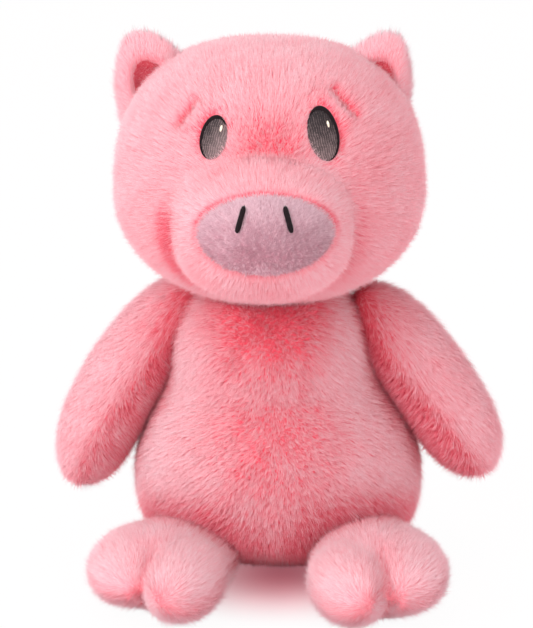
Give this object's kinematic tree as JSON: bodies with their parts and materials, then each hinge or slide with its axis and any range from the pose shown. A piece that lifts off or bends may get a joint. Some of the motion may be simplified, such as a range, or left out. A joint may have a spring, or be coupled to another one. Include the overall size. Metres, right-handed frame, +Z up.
{
  "type": "plush pig",
  "caption": "Sitting plush pig with a broad head, stuffed muzzle, embroidered eyes, cupped ears, hanging arms and split-toed feet; head, arms and legs move at soft seams.",
  "frame": {"origin": "centre of the flattened seat, on the surface that the toy sits on", "axes": "+Z up, -Y the way the toy faces, +X the toy's own left"},
  "size_m": [0.2237, 0.2105, 0.2724],
  "materials": {
    "fur": "long soft pile fur fabric, pale pink at the tips and deeper rose at the roots",
    "ear_lining": "short pile fur fabric, deeper rose",
    "snout_plush": "short pile plush, mauve grey-pink",
    "nostril_thread": "black satin stitch",
    "eye_thread": "charcoal satin stitch with a slight sheen",
    "glint_thread": "cream satin stitch",
    "fibre": "loose polyester fibre fill",
    "pouch_cloth": "plain woven polyester"
  },
  "bodies": {
    "torso": {"body_cover": "fur", "body_stuffing": "fibre", "pellet_pouch": "pouch_cloth", "tail": "fur"},
    "neck": {"neck_stuffing": "fibre"},
    "head": {"head_cover": "fur", "head_stuffing": "fibre", "muzzle_cover": "fur", "snout_pad": "snout_plush", "ear_left_back": "fur", "ear_left_lining": "ear_lining", "ear_right_back": "fur", "ear_right_lining": "ear_lining", "eye_left": "eye_thread", "eye_right": "eye_thread", "eye_glint_left": "glint_thread", "eye_glint_right": "glint_thread", "nostril_left": "nostril_thread", "nostril_right": "nostril_thread"},
    "left_arm": {"arm_left_cover": "fur", "arm_left_stuffing": "fibre"},
    "right_arm": {"arm_right_cover": "fur", "arm_right_stuffing": "fibre"},
    "left_leg": {"leg_left_cover": "fur", "leg_left_stuffing": "fibre"},
    "right_leg": {"leg_right_cover": "fur", "leg_right_stuffing": "fibre"}
  },
  "joints": [
    {"name": "head_nod", "type": "hinge", "parent": "torso", "child": "neck", "pos_m": [-0.003, 0, 0.137], "axis": [1, 0, 0], "range_deg": [-6, 6], "stiffness_Nm_per_rad": 1.2, "springref_deg": -0.57},
    {"name": "head_turn", "type": "hinge", "parent": "neck", "child": "head", "pos_m": [-0.003, 0, 0.137], "axis": [0, 0, 1], "range_deg": [-20, 20], "stiffness_Nm_per_rad": 0.4},
    {"name": "left_arm_lift", "type": "hinge", "parent": "torso", "child": "left_arm", "pos_m": [0.054, 0, 0.128], "axis": [0, -1, 0], "range_deg": [0, 40], "stiffness_Nm_per_rad": 0.06},
    {"name": "right_arm_lift", "type": "hinge", "parent": "torso", "child": "right_arm", "pos_m": [-0.054, 0, 0.128], "axis": [0, 1, 0], "range_deg": [0, 40], "stiffness_Nm_per_rad": 0.06},
    {"name": "left_leg_splay", "type": "hinge", "parent": "torso", "child": "left_leg", "pos_m": [0.038, -0.026, 0.0255], "axis": [0, 0, 1], "range_deg": [-6, 20], "stiffness_Nm_per_rad": 0.12},
    {"name": "right_leg_splay", "type": "hinge", "parent": "torso", "child": "right_leg", "pos_m": [-0.038, -0.026, 0.0255], "axis": [0, 0, -1], "range_deg": [-6, 20], "stiffness_Nm_per_rad": 0.12}
  ]
}
